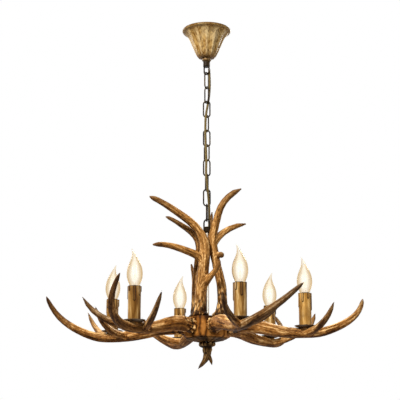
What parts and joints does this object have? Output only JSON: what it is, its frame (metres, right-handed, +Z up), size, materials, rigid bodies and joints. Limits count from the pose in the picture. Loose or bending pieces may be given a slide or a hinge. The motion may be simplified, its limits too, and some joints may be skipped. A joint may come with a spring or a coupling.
{
  "type": "antler chandelier",
  "caption": "Chain-hung candle chandelier: forked antler arms around a carved hub, upright antlers over it, candle sleeves with bent-tip bulbs, fluted ceiling canopy.",
  "frame": {"origin": "centre of the ceiling mounting plane, midway between the crossbar's two slots", "axes": "+Z up, X to the right along the crossbar, Y away from the front"},
  "size_m": [0.7284, 0.6388, 0.8109],
  "materials": {
    "canopy_bronze": "antique champagne bronze",
    "chain_bronze": "dark oiled bronze",
    "cord_cover": "olive gold braid",
    "plated_steel": "plated",
    "antler_resin": "hand-painted cast resin",
    "cover_resin": "dark painted resin",
    "pan_metal": "dark bronze",
    "sleeve_resin": "antique gold wax",
    "socket_plastic": "moulded",
    "bulb_glass": "clear",
    "bulb_cap": "screw shell"
  },
  "bodies": {
    "ceiling_mount": {"canopy": "canopy_bronze", "crossbar": "plated_steel", "crossbar_nut": "plated_steel", "canopy_pipe": "plated_steel", "canopy_collar": "canopy_bronze", "canopy_loop": "chain_bronze", "lamp_cord": "cord_cover"},
    "chain_link_01": {"chain_link_01": "chain_bronze"},
    "chain_link_02": {"chain_link_02": "chain_bronze"},
    "chain_link_03": {"chain_link_03": "chain_bronze"},
    "chain_link_04": {"chain_link_04": "chain_bronze"},
    "chain_link_05": {"chain_link_05": "chain_bronze"},
    "chain_link_06": {"chain_link_06": "chain_bronze"},
    "chain_link_07": {"chain_link_07": "chain_bronze"},
    "chain_link_08": {"chain_link_08": "chain_bronze"},
    "chain_link_09": {"chain_link_09": "chain_bronze"},
    "chain_link_10": {"chain_link_10": "chain_bronze"},
    "fixture": {"column_loop": "chain_bronze", "column_pipe": "plated_steel", "hub": "antler_resin", "hub_nut": "plated_steel", "hub_cover": "cover_resin", "bottom_finial": "antler_resin", "upright_antler_front": "antler_resin", "upright_antler_right": "antler_resin", "upright_antler_back": "antler_resin", "lamp_sockets": "socket_plastic", "antler_arm_1": "antler_resin", "drip_pan_1": "pan_metal", "candle_sleeve_1": "sleeve_resin", "antler_arm_2": "antler_resin", "drip_pan_2": "pan_metal", "candle_sleeve_2": "sleeve_resin", "antler_arm_3": "antler_resin", "drip_pan_3": "pan_metal", "candle_sleeve_3": "sleeve_resin", "antler_arm_4": "antler_resin", "drip_pan_4": "pan_metal", "candle_sleeve_4": "sleeve_resin", "antler_arm_5": "antler_resin", "drip_pan_5": "pan_metal", "candle_sleeve_5": "sleeve_resin", "antler_arm_6": "antler_resin", "drip_pan_6": "pan_metal", "candle_sleeve_6": "sleeve_resin"},
    "bulb_1": {"bulb_glass_1": "bulb_glass", "bulb_cap_1": "bulb_cap"},
    "bulb_2": {"bulb_glass_2": "bulb_glass", "bulb_cap_2": "bulb_cap"},
    "bulb_3": {"bulb_glass_3": "bulb_glass", "bulb_cap_3": "bulb_cap"},
    "bulb_4": {"bulb_glass_4": "bulb_glass", "bulb_cap_4": "bulb_cap"},
    "bulb_5": {"bulb_glass_5": "bulb_glass", "bulb_cap_5": "bulb_cap"},
    "bulb_6": {"bulb_glass_6": "bulb_glass", "bulb_cap_6": "bulb_cap"}
  },
  "joints": [
    {"name": "chain_joint_01", "type": "hinge", "parent": "ceiling_mount", "child": "chain_link_01", "pos_m": [0, 0, -0.1102], "axis": [0.7071, -0.7071, 0], "range_deg": [-10, 10], "deforming": ["lamp_cord"]},
    {"name": "chain_joint_02", "type": "hinge", "parent": "chain_link_01", "child": "chain_link_02", "pos_m": [0, 0, -0.1463], "axis": [0.5736, 0.8192, 0], "range_deg": [-10, 10]},
    {"name": "chain_joint_03", "type": "hinge", "parent": "chain_link_02", "child": "chain_link_03", "pos_m": [0, 0, -0.1824], "axis": [0.5592, -0.829, 0], "range_deg": [-10, 10]},
    {"name": "chain_joint_04", "type": "hinge", "parent": "chain_link_03", "child": "chain_link_04", "pos_m": [0, 0, -0.2185], "axis": [1, 0, 0], "range_deg": [-10, 10]},
    {"name": "chain_joint_05", "type": "hinge", "parent": "chain_link_04", "child": "chain_link_05", "pos_m": [0, 0, -0.2546], "axis": [0.5299, -0.848, 0], "range_deg": [-10, 10]},
    {"name": "chain_joint_06", "type": "hinge", "parent": "chain_link_05", "child": "chain_link_06", "pos_m": [0, 0, -0.2907], "axis": [0.9848, 0.1736, 0], "range_deg": [-10, 10]},
    {"name": "chain_joint_07", "type": "hinge", "parent": "chain_link_06", "child": "chain_link_07", "pos_m": [0, 0, -0.3268], "axis": [0.7193, -0.6947, 0], "range_deg": [-10, 10]},
    {"name": "chain_joint_08", "type": "hinge", "parent": "chain_link_07", "child": "chain_link_08", "pos_m": [0, 0, -0.3629], "axis": [0.9781, 0.2079, 0], "range_deg": [-10, 10]},
    {"name": "chain_joint_09", "type": "hinge", "parent": "chain_link_08", "child": "chain_link_09", "pos_m": [0, 0, -0.399], "axis": [0.3746, -0.9272, 0], "range_deg": [-10, 10]},
    {"name": "chain_joint_10", "type": "hinge", "parent": "chain_link_09", "child": "chain_link_10", "pos_m": [0, 0, -0.4351], "axis": [0.9903, 0.1392, 0], "range_deg": [-10, 10]},
    {"name": "chain_joint_11", "type": "hinge", "parent": "chain_link_10", "child": "fixture", "pos_m": [0, 0, -0.4712], "axis": [0.0872, 0.9962, 0], "range_deg": [-10, 10]},
    {"name": "bulb_lift_1", "type": "slide", "parent": "fixture", "child": "bulb_1", "axis": [0, 0, 1], "range_m": [0, 0.045]},
    {"name": "bulb_lift_2", "type": "slide", "parent": "fixture", "child": "bulb_2", "axis": [0, 0, 1], "range_m": [0, 0.045]},
    {"name": "bulb_lift_3", "type": "slide", "parent": "fixture", "child": "bulb_3", "axis": [0, 0, 1], "range_m": [0, 0.045]},
    {"name": "bulb_lift_4", "type": "slide", "parent": "fixture", "child": "bulb_4", "axis": [0, 0, 1], "range_m": [0, 0.045]},
    {"name": "bulb_lift_5", "type": "slide", "parent": "fixture", "child": "bulb_5", "axis": [0, 0, 1], "range_m": [0, 0.045]},
    {"name": "bulb_lift_6", "type": "slide", "parent": "fixture", "child": "bulb_6", "axis": [0, 0, 1], "range_m": [0, 0.045]}
  ]
}
